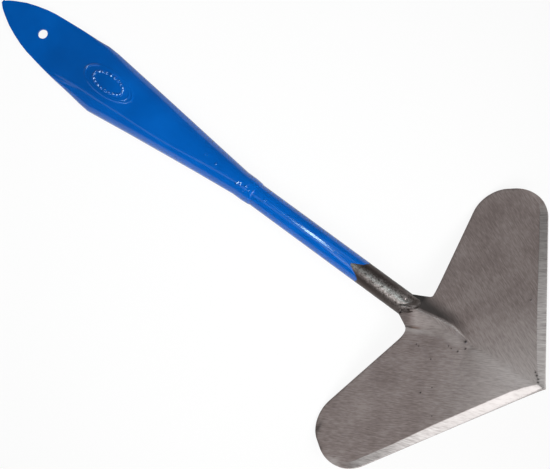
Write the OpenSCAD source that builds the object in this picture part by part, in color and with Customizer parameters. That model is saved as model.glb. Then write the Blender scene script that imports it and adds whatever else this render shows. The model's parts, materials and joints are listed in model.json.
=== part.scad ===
// Small all-steel hand hoe with a pointed, heart-shaped blade.
// The pieces are drawn along the shank, +X from the butt to the blade, and then laid down
// as the tool rests on a table: on the two heels of the blade and on the belly of the grip.

/* [Blade] */
// Angle between the two cutting edges at the point
point_angle = 91.5; // [84:0.5:100]
// Length of the centre fold, from the shank's axis to the point
blade_len = 100; // [85:1:120]
// Angle at which the blade rises from the line of the shank
blade_rise = 36; // [28:1:42]
// Angle by which each wing falls away from the centre fold
wing_fall = 7; // [4:0.5:10]
// Thickness of the blade's plate
plate_t = 2.5; // [1.5:0.1:3.5]
// Distance along the fold to where the wings' rear edges would meet
rear_start = 8; // [4:0.5:14]
// Sweep of the wings' rear edges, back from the crosswise line
rear_sweep = 22.5; // [16:0.5:28]
// Distance across from the fold to the wing's end edge, measured at the rear start
wing_reach = 88; // [80:1:96]
// Lean of the wing's end edge away from the fold's direction
end_lean = 27.5; // [20:0.5:34]
// Radius of the wing's corner on the side of the point
point_corner_r = 25; // [10:1:26]
// Radius of the wing's corner at the heel
heel_corner_r = 15; // [8:1:16]
// Width of the ground bevel along each cutting edge
bevel_w = 4; // [2:0.5:8]
// Thickness left at the cutting edge
edge_t = 0.6; // [0.3:0.1:1.2]

/* [Neck] */
// Length of the pressed rib along the centre fold
rib_len = 45; // [35:1:60]
// Width of the rib where it leaves the wings' rear edges
neck_w = 20.6; // [16:0.2:26]
// Distance from the shank's end to where the fold meets the shank's axis
neck_len = 5; // [3:0.5:8]
// Distance along the fold to the bend in the rib's crest
crest_bend_at = 24; // [18:1:30]
// Sideways set of the crest at its bend
crest_bend_set = 3; // [0:0.2:4]
// Height of the crest over the fold at its bend
crest_bend_h = 1; // [0.6:0.1:2.4]

/* [Shank] */
// Diameter of the round bar
shank_d = 12; // [10:0.5:14]
// Free length of the bar between the grip's mouth and the blade
shank_len = 94; // [70:1:130]
// Length of the bar inside the grip
shank_insert = 30; // [20:1:40]

/* [Grip] */
// Thickness of the rolled sheet
sheet_t = 0.6; // [0.5:0.1:1]
// Radial play between the bar and the grip's mouth
fit_gap = 0.05; // [0.02:0.01:0.1]
// Length of the parallel sleeve at the mouth
sleeve_len = 10; // [6:1:16]
// Length of the taper from the sleeve to the belly
taper_len = 92; // [80:1:120]
// Length of the leaf from the belly to the tip
leaf_len = 68; // [60:1:80]
// Length of the fully flattened part of the leaf
flat_len = 42; // [36:1:48]
// Greatest width of the belly
belly_w = 32.6; // [28:0.2:38]
// Height of the belly
belly_h = 15; // [14:0.5:18]
// Length over which the taper turns from oval to round
round_len = 25; // [15:1:40]
// Sideways set of the leaf's tip from the grip's axis
leaf_drift = 2.8; // [0:0.1:4]
// Diameter of the hole for hanging the tool up
hang_d = 5; // [4:0.5:7]
// Distance of the hanging hole from the leaf's tip
hang_at = 28.5; // [20:0.5:34]

/* [Welds] */
// Radius of the bead that joins the blade to the shank
bead_r = 2; // [1.2:0.1:2]
// Arc of the shank's end that the bead covers
bead_arc = 130; // [90:5:150]
// Diameter of the spot welds on the grip's sleeve
spot_d = 3; // [2:0.2:4]
// Height of the spot welds above the sleeve
spot_h = 0.8; // [0.4:0.1:1.2]

/* [Hidden] */
$fn = 64;

// Cuts run past the surfaces that they open
overrun = 1;
// The wings reach this far under the edge of the rib
lap = 1;
// Length over which the grip closes on the bar before its sleeve
mouth_land = 8;

// Points on a rounded corner, on a section of the grip and along its leaf and taper
corner_steps = 12;
ring_steps = 32;
leaf_steps = 24;
taper_steps = 10;

// Half-width of the leaf: share of the length from the tip, share of the belly's half-width
leaf_width_shares = [
    [0, 0.06], [0.08, 0.27], [0.16, 0.45], [0.24, 0.58], [0.32, 0.68], [0.4, 0.75], [0.48, 0.8],
    [0.56, 0.835], [0.64, 0.875], [0.72, 0.905], [0.8, 0.935], [0.9, 0.98], [1, 1]
];
// Most that the two rounded corners of a wing take up of its end edge
corner_room_share = 0.99;
// The hollow starts this share of the way from the flat leaf to the belly
hollow_start_share = 0.15;
// Places of the spot welds along the sleeve, and round it from the top as shares of a full turn
spot_places_shares = [[0.4, 0], [0.85, -0.04]];

// Outline of one wing, in its own plane: x along the fold from the shank's axis, y outwards
edge_dir = [-cos(point_angle / 2), sin(point_angle / 2)];
rear_dir = [-sin(rear_sweep), cos(rear_sweep)];
end_dir = [cos(end_lean), sin(end_lean)];
point = [blade_len, 0];
rear_meet = [rear_start, 0];
end_place = [rear_start, wing_reach];
point_corner = crossing(point, edge_dir, end_place, end_dir);
heel_corner = crossing(rear_meet, rear_dir, end_place, end_dir);
notch = rear_meet + rear_dir * neck_w / 2 / rear_dir.y;

// The wing's two corners share the length of its end edge, which limits their radii
end_edge = norm(point_corner - heel_corner);
corner_runs = point_corner_r / tan(half_angle(-edge_dir, -end_dir))
    + heel_corner_r / tan(half_angle(end_dir, -rear_dir));
corner_fit = min(1, end_edge * corner_room_share / corner_runs);
point_r = point_corner_r * corner_fit;
heel_r = heel_corner_r * corner_fit;
wing_outline = concat(
    [point],
    corner_arc(point_corner, -edge_dir, -end_dir, point_r),
    corner_arc(heel_corner, end_dir, -rear_dir, heel_r),
    [notch, notch - [0, lap], [rib_len - lap, 0]]
);

// Lowest point of a heel, on the plate's underside, in the line of the shank
heel_slope = [sin(blade_rise), -sin(wing_fall) * cos(blade_rise)];
heel_centre = corner_centre(heel_corner, end_dir, -rear_dir, heel_r);
heel_foot = heel_centre - heel_r * heel_slope / norm(heel_slope);
heel_low = on_wing(heel_foot, -plate_t);

// Stations along the grip, measured from the leaf's tip
mouth_u = leaf_len + taper_len;
grip_len = mouth_u + sleeve_len;
butt_x = -shank_len - grip_len;
sleeve_d = shank_d + 2 * (fit_gap + sheet_t);
hollow_u = flat_len + (leaf_len - flat_len) * hollow_start_share;
outer_stations = concat(
    [for (i = [0:leaf_steps]) leaf_len * i / leaf_steps],
    [for (i = [1:taper_steps]) leaf_len + taper_len * i / taper_steps],
    [grip_len]
);
hollow_stations = concat(
    [hollow_u],
    [for (u = outer_stations) if (u > hollow_u && u < mouth_u - mouth_land) u],
    [mouth_u - mouth_land]
);

// The tool's lie on the table, between the belly and the heels
belly_x = butt_x + leaf_len;
lie = atan2(-belly_h / 2 - heel_low.z, heel_low.x - belly_x);
rest_z = -belly_x * sin(lie) + belly_h / 2 * cos(lie);
point_low = on_wing(point, -plate_t);
front_x = point_low.x * cos(lie) - point_low.z * sin(lie);
back_x = butt_x * cos(lie);

// Point where two lines cross, each given by a point and a direction
function crossing(p, d, q, e) = p + d * cross(q - p, e) / cross(d, e);

// Half of the angle between the directions a and b that leave a corner
function half_angle(a, b) = acos(a * b) / 2;

// Centre of an arc of radius r that rounds the corner c between the directions a and b
function corner_centre(c, a, b, r) = c + (a + b) / norm(a + b) * r / sin(half_angle(a, b));

// Points of that arc, from the side of a to the side of b
function corner_arc(c, a, b, r) =
    let (
        half = half_angle(a, b),
        centre = corner_centre(c, a, b, r),
        from = c + a * r / tan(half) - centre,
        turn = sign(cross(b, a)) * (180 - 2 * half)
    )
    [for (i = [0:corner_steps])
        let (angle = atan2(from.y, from.x) + turn * i / corner_steps)
        centre + r * [cos(angle), sin(angle)]];

// A place along, across and over the centre fold, in the line of the shank
function on_fold(along, across, over) = [
    neck_len + along * cos(blade_rise) - over * sin(blade_rise),
    across,
    along * sin(blade_rise) + over * cos(blade_rise)
];

// A point of the wing's outline at height h over its top face, in the line of the shank
function on_wing(p, h) = on_fold(
    p.x,
    p.y * cos(wing_fall) + h * sin(wing_fall),
    h * cos(wing_fall) - p.y * sin(wing_fall)
);

// The same point on the other side of the centre fold
function other_side(p) = [p.x, -p.y, p.z];

function smooth(t) = t * t * (3 - 2 * t);

// Half-width, half-height and sideways set of the grip at station u
function half_w(u) =
    u < leaf_len ? belly_w / 2 * lookup(u / leaf_len, leaf_width_shares)
    : sleeve_d / 2 + (belly_w - sleeve_d) / 2 * max(0, mouth_u - u) / taper_len;

function half_h(u) =
    u < flat_len ? sheet_t
    : u < leaf_len ? sheet_t + (belly_h / 2 - sheet_t) * smooth((u - flat_len) / (leaf_len - flat_len))
    : u < mouth_u - round_len ? belly_h / 2
    : sleeve_d / 2 + (belly_h - sleeve_d) / 2 * max(0, mouth_u - u) / round_len;

function drift(u) = leaf_drift * max(0, 1 - u / leaf_len);

// Section with flat faces and round sides, of half-width a and half-height b
function ring(a, b) =
    let (r = min(a, b))
    [for (i = [0:ring_steps - 1])
        let (
            angle = 360 * (i + 0.5) / ring_steps - 90,
            side = i < ring_steps / 2 ? a - r : r - a
        )
        [side + r * cos(angle), b * sin(angle)]];

// Turns a tool drawn along the shank to its lie on the table
module lay() {
    translate([-(front_x + back_x) / 2, 0, rest_z])
        rotate([0, -lie, 0])
            children();
}

// Solid through the grip's sections at the stations, with its walls moved inwards
module grip_loft(stations, inwards) {
    rings = len(stations);
    points = [for (u = stations)
        for (p = ring(half_w(u) - inwards, half_h(u) - inwards))
            [butt_x + u, drift(u) + p.x, p.y]];
    walls = [for (k = [0:rings - 2]) for (i = [0:ring_steps - 1])
        let (j = (i + 1) % ring_steps, a = k * ring_steps, b = a + ring_steps)
        each [[a + i, b + i, b + j], [a + i, b + j, a + j]]];
    butt_end = [for (i = [0:ring_steps - 1]) i];
    mouth_end = [for (i = [ring_steps - 1:-1:0]) (rings - 1) * ring_steps + i];
    polyhedron(points, concat(walls, [butt_end, mouth_end]));
}

// Round bar of diameter d on the shank's axis, between two places along it
module bar(d, from_x, to_x) {
    translate([from_x, 0, 0])
        rotate([0, 90, 0])
            cylinder(d = d, h = to_x - from_x);
}

// One wing with its bevel, on the side of +Y
module wing() {
    bevel_angle = atan2(plate_t - edge_t, bevel_w);
    reach = blade_len + wing_reach;
    translate([neck_len, 0, 0])
        rotate([0, -blade_rise, 0])
            rotate([-wing_fall, 0, 0])
                difference() {
                    translate([0, 0, -plate_t])
                        linear_extrude(plate_t)
                            polygon(wing_outline);
                    translate(point)
                        rotate([0, 0, 180 - point_angle / 2])
                            translate([-bevel_w, bevel_w, 0])
                                rotate([bevel_angle, 0, 0])
                                    translate([0, -2 * bevel_w, 0])
                                        cube([reach, 2 * bevel_w, plate_t + overrun]);
                }
}

// Folded sheet of the rib, from the shank's end to where it runs out on the centre fold
module rib() {
    sheet = [0, 0, -plate_t / cos(blade_rise)];
    crest = [0, 0, shank_d / 2];
    side = [0, shank_d / 2, 0];
    corner = on_wing(notch, 0);
    far = on_fold(rib_len, 0, 0);
    bend = on_fold(crest_bend_at, crest_bend_set, crest_bend_h);
    rim = [crest, side, corner, far, other_side(corner), other_side(side)];
    top = concat(rim, [bend]);
    under = len(top);
    faces_up = [[0, 1, 2], [0, 2, 6], [6, 2, 3], [6, 3, 4], [0, 6, 4], [0, 4, 5]];
    faces_down = [for (f = faces_up) [f[2] + under, f[1] + under, f[0] + under]];
    sides = [for (i = [0:len(rim) - 1])
        let (j = (i + 1) % len(rim))
        [j, i, i + under, j + under]];
    polyhedron(concat(top, [for (p = top) p + sheet]), concat(faces_up, faces_down, sides));
}

module blade() {
    color("gray") lay() {
        rib();
        wing();
        mirror([0, 1, 0]) wing();
    }
}

module shank() {
    color("dodgerblue") lay() bar(shank_d, -shank_len - shank_insert, 0);
}

// Sheet rolled to a tapered tube, pressed flat and trimmed to a leaf at the butt
module grip() {
    bore_d = shank_d + 2 * fit_gap;
    color("royalblue") lay() difference() {
        grip_loft(outer_stations, 0);
        grip_loft(hollow_stations, sheet_t);
        bar(bore_d, -shank_len - shank_insert, -shank_len + overrun);
        translate([butt_x + hang_at, drift(hang_at), -sheet_t - overrun])
            cylinder(d = hang_d, h = 2 * (sheet_t + overrun));
    }
}

// Bead over the joint between the shank's end and the rib
module neck_weld() {
    color("dimgray") lay() difference() {
        rotate([bead_arc / 2, 0, 0])
            rotate([0, -90, 0])
                rotate_extrude(angle = bead_arc)
                    translate([shank_d / 2, 0])
                        circle(r = bead_r);
        bar(shank_d, -shank_len, 0);
        rib();
    }
}

// Spot welds through the sleeve, each a low dome
module mouth_welds() {
    spot_r = (spot_d * spot_d / 4 + spot_h * spot_h) / (2 * spot_h);
    color("cornflowerblue") lay() difference() {
        for (place = spot_places_shares)
            translate([-shank_len - place[0] * sleeve_len, 0, 0])
                rotate([-360 * place[1], 0, 0])
                    translate([0, 0, sleeve_d / 2 + spot_h - spot_r])
                        sphere(r = spot_r);
        bar(sleeve_d, -shank_len - 2 * sleeve_len, -shank_len + sleeve_len);
    }
}

blade();
shank();
grip();
neck_weld();
mouth_welds();
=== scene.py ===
import json
import math

import bpy
import numpy as np
from mathutils import Matrix, Vector, noise
from mathutils.geometry import delaunay_2d_cdt


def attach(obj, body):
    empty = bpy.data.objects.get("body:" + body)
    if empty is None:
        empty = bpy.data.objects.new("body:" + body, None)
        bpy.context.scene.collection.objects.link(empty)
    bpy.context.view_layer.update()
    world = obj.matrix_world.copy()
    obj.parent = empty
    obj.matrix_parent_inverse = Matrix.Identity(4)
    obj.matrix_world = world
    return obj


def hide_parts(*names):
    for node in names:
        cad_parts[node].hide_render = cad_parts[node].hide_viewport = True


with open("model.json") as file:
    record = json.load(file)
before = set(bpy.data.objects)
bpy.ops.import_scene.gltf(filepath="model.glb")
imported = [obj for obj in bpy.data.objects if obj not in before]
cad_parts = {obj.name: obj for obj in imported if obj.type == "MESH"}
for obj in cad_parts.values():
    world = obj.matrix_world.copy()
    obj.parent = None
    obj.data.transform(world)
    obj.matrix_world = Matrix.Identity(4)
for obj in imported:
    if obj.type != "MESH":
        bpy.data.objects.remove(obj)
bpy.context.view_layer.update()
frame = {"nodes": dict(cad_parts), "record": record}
print("frame loaded:", ", ".join(sorted(frame["nodes"])))

scene = bpy.context.scene
scene.view_settings.view_transform = "Standard"

# the tool is drawn in mm along its shank, +X from butt to blade, then laid down as its hanging hole lies
hangHole = {"along": -235.5, "mount": next(m for m in frame["record"]["mounts"] if m["name"] == "hang_hole")}


def layDown(points):
    p = np.asarray(points, float)
    s, c = -hangHole["mount"]["axis"][0], hangHole["mount"]["axis"][2]
    holeX, _, holeZ = hangHole["mount"]["pos_m"]
    ahead = p[:, 0] - hangHole["along"]
    x = (ahead * c - p[:, 2] * s) / 1000 + holeX  # mm to metres
    z = (ahead * s + p[:, 2] * c) / 1000 + holeZ
    return np.column_stack([x, p[:, 1] / 1000, z])


def toLinear(hexColour):
    parts = [int(hexColour[i:i + 2], 16) / 255 for i in (1, 3, 5)]
    return [c / 12.92 if c <= 0.04045 else ((c + 0.055) / 1.055) ** 2.4 for c in parts] + [1.0]


def smoothStep(x, start, end):
    t = np.clip((np.asarray(x, float) - start) / (end - start), 0, 1)
    return t * t * (3 - 2 * t)


def fade(x, start, end):
    return 1 - smoothStep(x, start, end)


def between(x, start, end):  # comes within the first span and goes within the second
    return smoothStep(x, *start) * fade(x, *end)


def bell(x, wide):
    return np.exp(-(x / wide) ** 2)


def softMin(a, b, k):
    return 0.5 * (a + b - np.sqrt((a - b) ** 2 + k * k))


def softMax(a, b, k):
    return 0.5 * (a + b + np.sqrt((a - b) ** 2 + k * k))


def stationsIn(spans):  # places along a piece, from the start, stop and step of each span
    return np.concatenate([np.arange(*span) for span in spans])


def evenly(start, end, count):  # places from the start up to, but not with, the end
    return np.linspace(start, end, count + 1)[:-1]


def tubeFaces(rings, size, clockwise=False):  # skin over a row of rings, closed at both ends
    faces = []
    for j in range(rings - 1):
        for k in range(size):
            a, b = j * size + k, j * size + (k + 1) % size
            faces.append((a, a + size, b + size, b) if clockwise else (a, b, b + size, a + size))
    first, last = tuple(range(size)), tuple(range((rings - 1) * size, rings * size))
    return faces + ([first, last[::-1]] if clockwise else [first[::-1], last])


def addNode(tree, kind, settings=None, **links):
    made = tree.nodes.new("ShaderNode" + kind)
    for key, value in (settings or {}).items():
        if key == "stops":  # places and hex colours of a ramp
            ramp = made.color_ramp.elements
            while len(ramp) < len(value):
                ramp.new(1.0)
            for element, (place, shade) in zip(ramp, value):
                element.position, element.color = place, toLinear(shade)
        elif key == "range":  # two values that come in, then the two that they become
            for socket, number in zip(("From Min", "From Max", "To Min", "To Max"), value):
                made.inputs[socket].default_value = number
        elif isinstance(key, str) and hasattr(made, key):
            setattr(made, key, value)
        else:
            made.inputs[key].default_value = value
    for key, source in links.items():  # i0, i1 ... are places, other names are the sockets' own
        place = int(key[1:]) if key[1:].isdigit() else key
        tree.links.new(source, made.inputs[place])
    return made


def newMaterial(name):
    made = bpy.data.materials.new(name)
    made.use_nodes = True
    tree = made.node_tree
    tree.nodes.clear()
    shader = addNode(tree, "BsdfPrincipled")
    addNode(tree, "OutputMaterial", Surface=shader.outputs["BSDF"])
    return made, tree, shader


def coverShader(tree, shader, look, colour, rough, height):  # the links that all finishes here share
    relief = {"Strength": look["bump"], "Distance": look["bumpDeep"]}
    normal = addNode(tree, "Bump", relief, Height=height).outputs["Normal"]
    for socket, source in (("Base Color", colour), ("Roughness", rough), ("Normal", normal)):
        tree.links.new(source, shader.inputs[socket])


def topOnly(marks):  # masks for a piece whose second half of points lies underneath
    return {key: np.concatenate([np.clip(mask, 0, 1), np.zeros(len(mask))]) for key, mask in marks.items()}


def makePiece(name, points, faces, material, sharpAngle, marks=None):  # named for its CAD node
    mesh = bpy.data.meshes.new(name)
    mesh.from_pydata([tuple(p) for p in layDown(points)], [], [tuple(f) for f in faces])
    mesh.validate()
    for key, values in (marks or {}).items():  # per-point masks that the materials read
        mesh.attributes.new(key, "FLOAT", "POINT").data.foreach_set("value", np.asarray(values, np.float32))
    mesh.materials.append(material)
    mesh.polygons.foreach_set("use_smooth", [True] * len(mesh.polygons))
    mesh.set_sharp_from_angle(angle=math.radians(sharpAngle))
    piece = bpy.data.objects.new(name, mesh)
    scene.collection.objects.link(piece)
    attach(piece, "root")
    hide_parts(name)
    print("piece made:", name, len(mesh.vertices), "points")
    return piece


# materials, each named for what it is; sizes of their patterns in mm, depth of their relief in metres
bladeSteelLook = {
    "shades": ((0.4, "#897d7a"), (0.5, "#9c908d"), (0.6, "#b0a5a2")),
    "honedShades": ((0.38, "#bdb6b4"), (0.5, "#d8d2d0"), (0.62, "#ebe7e5")),
    # the polished tint is soil polish with painted highlights, the smoke tint weld soot with painted shade
    "polished": "#d9d3d1", "rust": "#6e4a30", "smoke": "#2b2827", "pit": "#1b1716",
    # length, width and detail of each pattern
    "streaks": (20.0, 1.3, 3.0), "scratches": (4.5, 0.5, 2.0), "blotches": (22.0, 22.0, 3.0),
    "grit": 0.6, "scratchShare": 0.68, "blotchShare": 0.35, "ridges": (0.36, 0.6, 0.62, 1.1),
    "roughness": (0.3, 0.7, 0.39, 0.51), "honedRoughness": 0.34, "bump": 0.25, "bumpDeep": 0.0001,
}


def groundCarbonSteel(look, name):
    # medium-carbon plate, faced with a coarse grinding disc: grey with long soft streaks and a broad dull
    # sheen, brighter where edges are honed and soil polished the point; painted highlights and shade on top
    made, tree, shader = newMaterial(name)
    grain = addNode(tree, "UVMap", {"uv_map": "grain"}).outputs["UV"]
    noises = []
    for long, wide, detail in (look["streaks"], look["scratches"], look["blotches"]):
        # the real grit lines are about 0.2 mm apart, under half a pixel: these are drawn coarser
        at = addNode(tree, "Mapping", {"Scale": (1 / long, 1 / wide, 1)}, Vector=grain).outputs["Vector"]
        pattern = {"Scale": 1.0, "Detail": detail, "Roughness": look["grit"]}
        noises.append(addNode(tree, "TexNoise", pattern, Vector=at).outputs["Fac"])
    share = {"data_type": "FLOAT", "Factor": look["scratchShare"]}
    lines = addNode(tree, "Mix", share, i2=noises[0], i3=noises[1]).outputs[0]
    share = {"data_type": "FLOAT", "Factor": look["blotchShare"]}
    mixed = addNode(tree, "Mix", share, i2=lines, i3=noises[2]).outputs[0]
    colour = addNode(tree, "ValToRGB", {"stops": look["shades"]}, Fac=mixed).outputs["Color"]
    honed = addNode(tree, "ValToRGB", {"stops": look["honedShades"]}, Fac=lines).outputs["Color"]
    # the honed mask also holds a painted highlight along the rib's crest
    edge = addNode(tree, "Attribute", {"attribute_name": "honed"}).outputs["Fac"]
    colour = addNode(tree, "Mix", {"data_type": "RGBA"}, i0=edge, i6=colour, i7=honed).outputs[2]
    ridges = addNode(tree, "MapRange", {"range": look["ridges"]}, Value=lines).outputs["Result"]
    # the last tints lay on polish with painted highlights, rust, soot with painted shade, and dark pits
    for mark in ("polished", "rust", "smoke", "pit"):
        mask = addNode(tree, "Attribute", {"attribute_name": mark}).outputs["Fac"]
        if mark == "polished":  # polish and painted highlight land first on the ridges of the grinding lines
            times = {"operation": "MULTIPLY", "use_clamp": True}
            mask = addNode(tree, "Math", times, i0=mask, i1=ridges).outputs[0]
        tint = {"data_type": "RGBA", 7: toLinear(look[mark])}
        colour = addNode(tree, "Mix", tint, i0=mask, i6=colour).outputs[2]
    rough = addNode(tree, "MapRange", {"range": look["roughness"]}, Value=mixed).outputs["Result"]
    tight = {"data_type": "FLOAT", 3: look["honedRoughness"]}
    rough = addNode(tree, "Mix", tight, i0=edge, i2=rough).outputs[0]
    coverShader(tree, shader, look, colour, rough, lines)
    shader.inputs["Metallic"].default_value = 1.0
    return made


bladeSteel = groundCarbonSteel(bladeSteelLook, "groundCarbonSteel")

enamelLook = {
    "shades": ((0.3, "#0055ab"), (0.5, "#005ab4"), (0.7, "#0260bd")), "blotch": 24.0, "blotchDetail": 3.0,
    "orangePeel": 2.4, "peelDetail": 1.0, "roughness": (0.3, 0.7, 0.04, 0.09), "ior": 1.5,
    "bump": 0.006, "bumpDeep": 0.0002,
}


def enamelCoat(tree, look):  # colour, roughness and height of the paint
    where = addNode(tree, "TexCoord").outputs["Object"]
    pattern = {"Scale": 1000 / look["blotch"], "Detail": look["blotchDetail"]}
    blotch = addNode(tree, "TexNoise", pattern, Vector=where).outputs["Fac"]
    pattern = {"Scale": 1000 / look["orangePeel"], "Detail": look["peelDetail"]}
    peel = addNode(tree, "TexNoise", pattern, Vector=where).outputs["Fac"]
    colour = addNode(tree, "ValToRGB", {"stops": look["shades"]}, Fac=blotch).outputs["Color"]
    rough = addNode(tree, "MapRange", {"range": look["roughness"]}, Value=blotch).outputs["Result"]
    return colour, rough, peel


def glossEnamel(look, name):
    # dipped alkyd enamel: deep even blue under a clear gloss, with a faint orange peel
    made, tree, shader = newMaterial(name)
    coverShader(tree, shader, look, *enamelCoat(tree, look))
    shader.inputs["IOR"].default_value = look["ior"]
    return made


blueEnamel = glossEnamel(enamelLook, "blueGlossEnamel")

scaledSteelLook = {
    # the rubbed tint is a painted highlight over rubbed steel, the hollow tint painted shade and flux
    "scale": "#4d4542", "rubbed": "#cbc2bf", "hollow": "#231f1d", "speckle": (0.38, 0.6, 0.0, 1.0),
    "grain": 0.8, "grainDetail": 4.0, "grit": 0.7, "coarse": 2.4, "coarseDetail": 2.0, "coarseShare": 0.35,
    "roughness": (0.3, 0.7, 0.52, 0.3), "bump": 0.5, "bumpDeep": 0.0002,
}


def scaledSteel(tree, look):  # colour, roughness and height of bare hot-rolled steel, with painted highlight and painted shade
    where = addNode(tree, "TexCoord").outputs["Object"]
    pattern = {"Scale": 1000 / look["grain"], "Detail": look["grainDetail"], "Roughness": look["grit"]}
    fine = addNode(tree, "TexNoise", pattern, Vector=where).outputs["Fac"]
    pattern = {"Scale": 1000 / look["coarse"], "Detail": look["coarseDetail"]}
    coarse = addNode(tree, "TexNoise", pattern, Vector=where).outputs["Fac"]
    share = {"data_type": "FLOAT", "Factor": look["coarseShare"]}
    grain = addNode(tree, "Mix", share, i2=fine, i3=coarse).outputs[0]
    speckle = addNode(tree, "MapRange", {"range": look["speckle"]}, Value=grain).outputs["Result"]
    # painted highlight where the steel is rubbed, broken by the grain's speckle
    rubbed = addNode(tree, "Attribute", {"attribute_name": "rubbed"}).outputs["Fac"]
    # painted shade, which in the weld's hollows also stands for flux
    hollow = addNode(tree, "Attribute", {"attribute_name": "hollow"}).outputs["Fac"]
    times = {"operation": "MULTIPLY", "use_clamp": True}
    bright = addNode(tree, "Math", times, i0=rubbed, i1=speckle).outputs[0]
    tints = {"data_type": "RGBA", 6: toLinear(look["scale"]), 7: toLinear(look["rubbed"])}
    colour = addNode(tree, "Mix", tints, i0=bright).outputs[2]
    tint = {"data_type": "RGBA", 7: toLinear(look["hollow"])}
    colour = addNode(tree, "Mix", tint, i0=hollow, i6=colour).outputs[2]
    rough = addNode(tree, "MapRange", {"range": look["roughness"]}, Value=grain).outputs["Result"]
    return colour, rough, grain


def enamelOverScaledBar(paint, bare, name):
    # hot-rolled bar: blue enamel on its length, then dark grainy oxide with a painted highlight along its
    # top, over some rubbed wear, and painted shade on its +Y side
    made, tree, shader = newMaterial(name)
    painted = addNode(tree, "Attribute", {"attribute_name": "painted"}).outputs["Fac"]
    steel, steelRough, grain = scaledSteel(tree, bare)
    blue, blueRough, peel = enamelCoat(tree, paint)
    colour = addNode(tree, "Mix", {"data_type": "RGBA"}, i0=painted, i6=steel, i7=blue).outputs[2]
    rough = addNode(tree, "Mix", {"data_type": "FLOAT"}, i0=painted, i2=steelRough, i3=blueRough).outputs[0]
    milder = {"operation": "MULTIPLY", 1: paint["bump"] / bare["bump"]}
    peel = addNode(tree, "Math", milder, i0=peel).outputs[0]
    height = addNode(tree, "Mix", {"data_type": "FLOAT"}, i0=painted, i2=grain, i3=peel).outputs[0]
    coverShader(tree, shader, bare, colour, rough, height)
    metallic = addNode(tree, "Math", {"operation": "SUBTRACT", 0: 1.0}, i1=painted).outputs[0]
    tree.links.new(metallic, shader.inputs["Metallic"])
    shader.inputs["IOR"].default_value = paint["ior"]
    return made


def stickWeld(look, name):
    # stick weld, wire-brushed: the same grainy grey as the bar that it melted, dark with flux and painted
    # shade in its hollows, painted shade on its far side and painted highlights on the bead
    made, tree, shader = newMaterial(name)
    coverShader(tree, shader, look, *scaledSteel(tree, look))
    shader.inputs["Metallic"].default_value = 1.0
    return made


paintedBar = enamelOverScaledBar(enamelLook, scaledSteelLook, "enamelOverScaledBar")
weldSteel = stickWeld(scaledSteelLook, "stickWeldSteel")
print("materials made")

# blade: one plate, folded along its centre, with a pressed rib and two ground edges; mm and degrees
blade = {
    "rise": 36, "fall": 7, "foot": 5, "thick": 2.5, "foldRound": 0.5, "foldBlend": 4, "sharp": 12,
    "rearStart": 8, "rearSweep": 22.5, "reach": 88, "endLean": 27.5, "pointRound": 25, "heelRound": 15,
    "neckHalf": 10.4, "neckEnd": (-4.05, 6.0), "tipRound": 0.5,
    "edgeThick": 0.6, "grindSlope": 0.45, "cornerTaper": 0.75, "cornerEnd": (0.45, 0.95),
    "crestAlong": (-6, -0.5, 8, 16, 22, 27, 31, 38, 45, 60),
    "crestAcross": (0, 0, 0.4, 1.6, 2.5, 2.8, 2.45, 1.2, 0, 0),
    "crestOver": (8.7, 7.79, 6.1, 3.9, 2.2, 1.1, 0.72, 0.3, 0, -2.5),
    "lowSlope": (0.89, 0.87, 0.98, 0.78, 0.66, 0.45, 0.3, 0.22, 0.16, 0.13),
    "highSlope": (0.82, 0.82, 0.825, 0.857, 0.91, 0.99, 1.1, 0.96, 0.5, 0.4),
    "crestRound": (3.0, 2.2, 0.9, 0.7, 0.6, 0.45, 0.3, 0.22, 0.22, 0.22), "crestBlend": 0.8,
    "lowCrease": 0.35, "lowCreaseGain": 0.5, "lowCreaseFrom": (8, 24),
    "highCrease": 0.2, "highHollow": 1.7, "highHollowTo": (20, 44),
    "creasePath": ((0.2, -9.1), (4, -7.9), (8, -6.6), (12, -5.4), (16, -4.0)),
    "pits": ((40.8, -0.2, 0.7), (43.2, -3.0, 0.5), (39.7, -5.9, 0.5), (87.2, 4.5, 0.4), (89.2, 3.5, 0.5),
             (91.2, 2.4, 0.5), (92.4, 1.1, 0.45), (33.2, -31.7, 0.45), (37.9, -26.8, 0.3), (27.2, -15.7, 0.3),
             (13.5, -13.3, 0.28), (15.5, -13.4, 0.28), (47.8, -38.1, 0.3), (54.0, 33.7, 0.35),
             (32.6, -6.0, 0.28), (35.0, -6.4, 0.28)),
    "pitDeep": 0.25, "pitDark": 0.9, "pitClear": 0.05,
}
# the two ground edges: where each meets the fold, its half angle, and its width at distances from the point
highEdge = {
    "side": 1, "meets": 97.3, "half": 45.57, "at": (0, 20, 50, 90), "wide": (2.8, 3.8, 4.0, 3.6),
    "fillet": (1.2, 1.2), "grain": -20, "honedGrain": 40,
}
lowEdge = {
    "side": -1, "meets": 96.13, "half": 46.97, "at": (0, 5, 16, 60, 85), "wide": (2.0, 2.9, 4.4, 4.3, 3.4),
    "fillet": (6.5, 4.5), "grain": 20, "honedGrain": 20,
}
bothEdges = (highEdge, lowEdge)
wingCos, wingTan = math.cos(math.radians(blade["fall"])), math.tan(math.radians(blade["fall"]))
riseCos, riseSin = math.cos(math.radians(blade["rise"])), math.sin(math.radians(blade["rise"]))
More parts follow.
